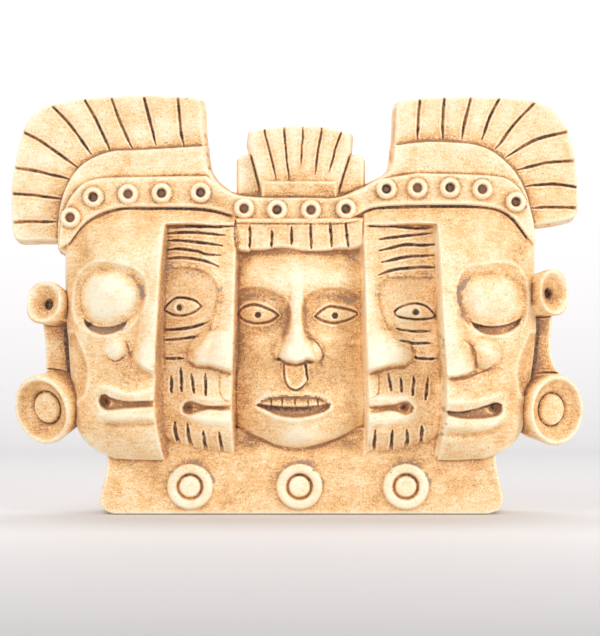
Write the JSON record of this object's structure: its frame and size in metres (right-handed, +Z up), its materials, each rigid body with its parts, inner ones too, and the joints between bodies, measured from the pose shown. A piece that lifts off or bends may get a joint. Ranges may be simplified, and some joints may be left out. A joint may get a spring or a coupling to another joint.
{
  "type": "mask relief ornament",
  "caption": "Standing cast relief of three nested mask faces, the outer two sawn open over the next, with feather crests, ear ornaments and a flared foot.",
  "frame": {"origin": "middle of the whole piece's box, at the height of the surface it stands on", "axes": "+Z up, +X to the viewer's right, +Y from the faces towards the flat back"},
  "size_m": [0.302, 0.0568, 0.223],
  "materials": {
    "cast_stone": "satin-matt ivory casting, brown wash left in the recesses and rubbed off the high places"
  },
  "bodies": {
    "root": {"mask": "cast_stone"}
  },
  "joints": []
}
